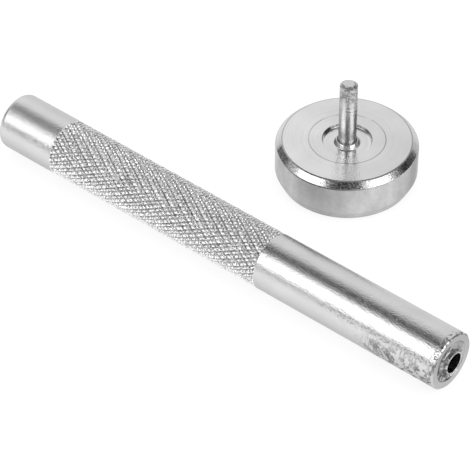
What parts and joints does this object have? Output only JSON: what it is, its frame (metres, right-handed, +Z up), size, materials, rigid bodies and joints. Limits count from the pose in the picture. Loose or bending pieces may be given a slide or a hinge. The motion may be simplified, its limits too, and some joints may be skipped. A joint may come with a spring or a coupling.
{
  "type": "eyelet setting tool",
  "caption": "Knurled striking bar with a ring-shaped rolling die and a bore in one end, beside a round anvil with a guide pin, for setting fabric eyelets.",
  "frame": {"origin": "middle of the anvil's foot, on the bench", "axes": "+Z up along the guide pin, +X along the lying bar towards its die end, the bar on the -Y side of the anvil"},
  "size_m": [0.1127, 0.0562, 0.024],
  "materials": {
    "anvil_plate": "bright plated steel, fine turning marks on the top face",
    "pin_plate": "plated steel, slightly worn and streaked along its length",
    "bar_plate": "bright plated steel with a diamond knurled grip, mottled near the die end"
  },
  "bodies": {
    "anvil": {"anvil_base": "anvil_plate", "anvil_pin": "pin_plate"},
    "setter": {"setter_bar": "bar_plate"}
  },
  "joints": [
    {"name": "setter_lift", "type": "slide", "parent": "anvil", "child": "setter", "axis": [0, 0, 1], "range_m": [0, 0.12]}
  ]
}
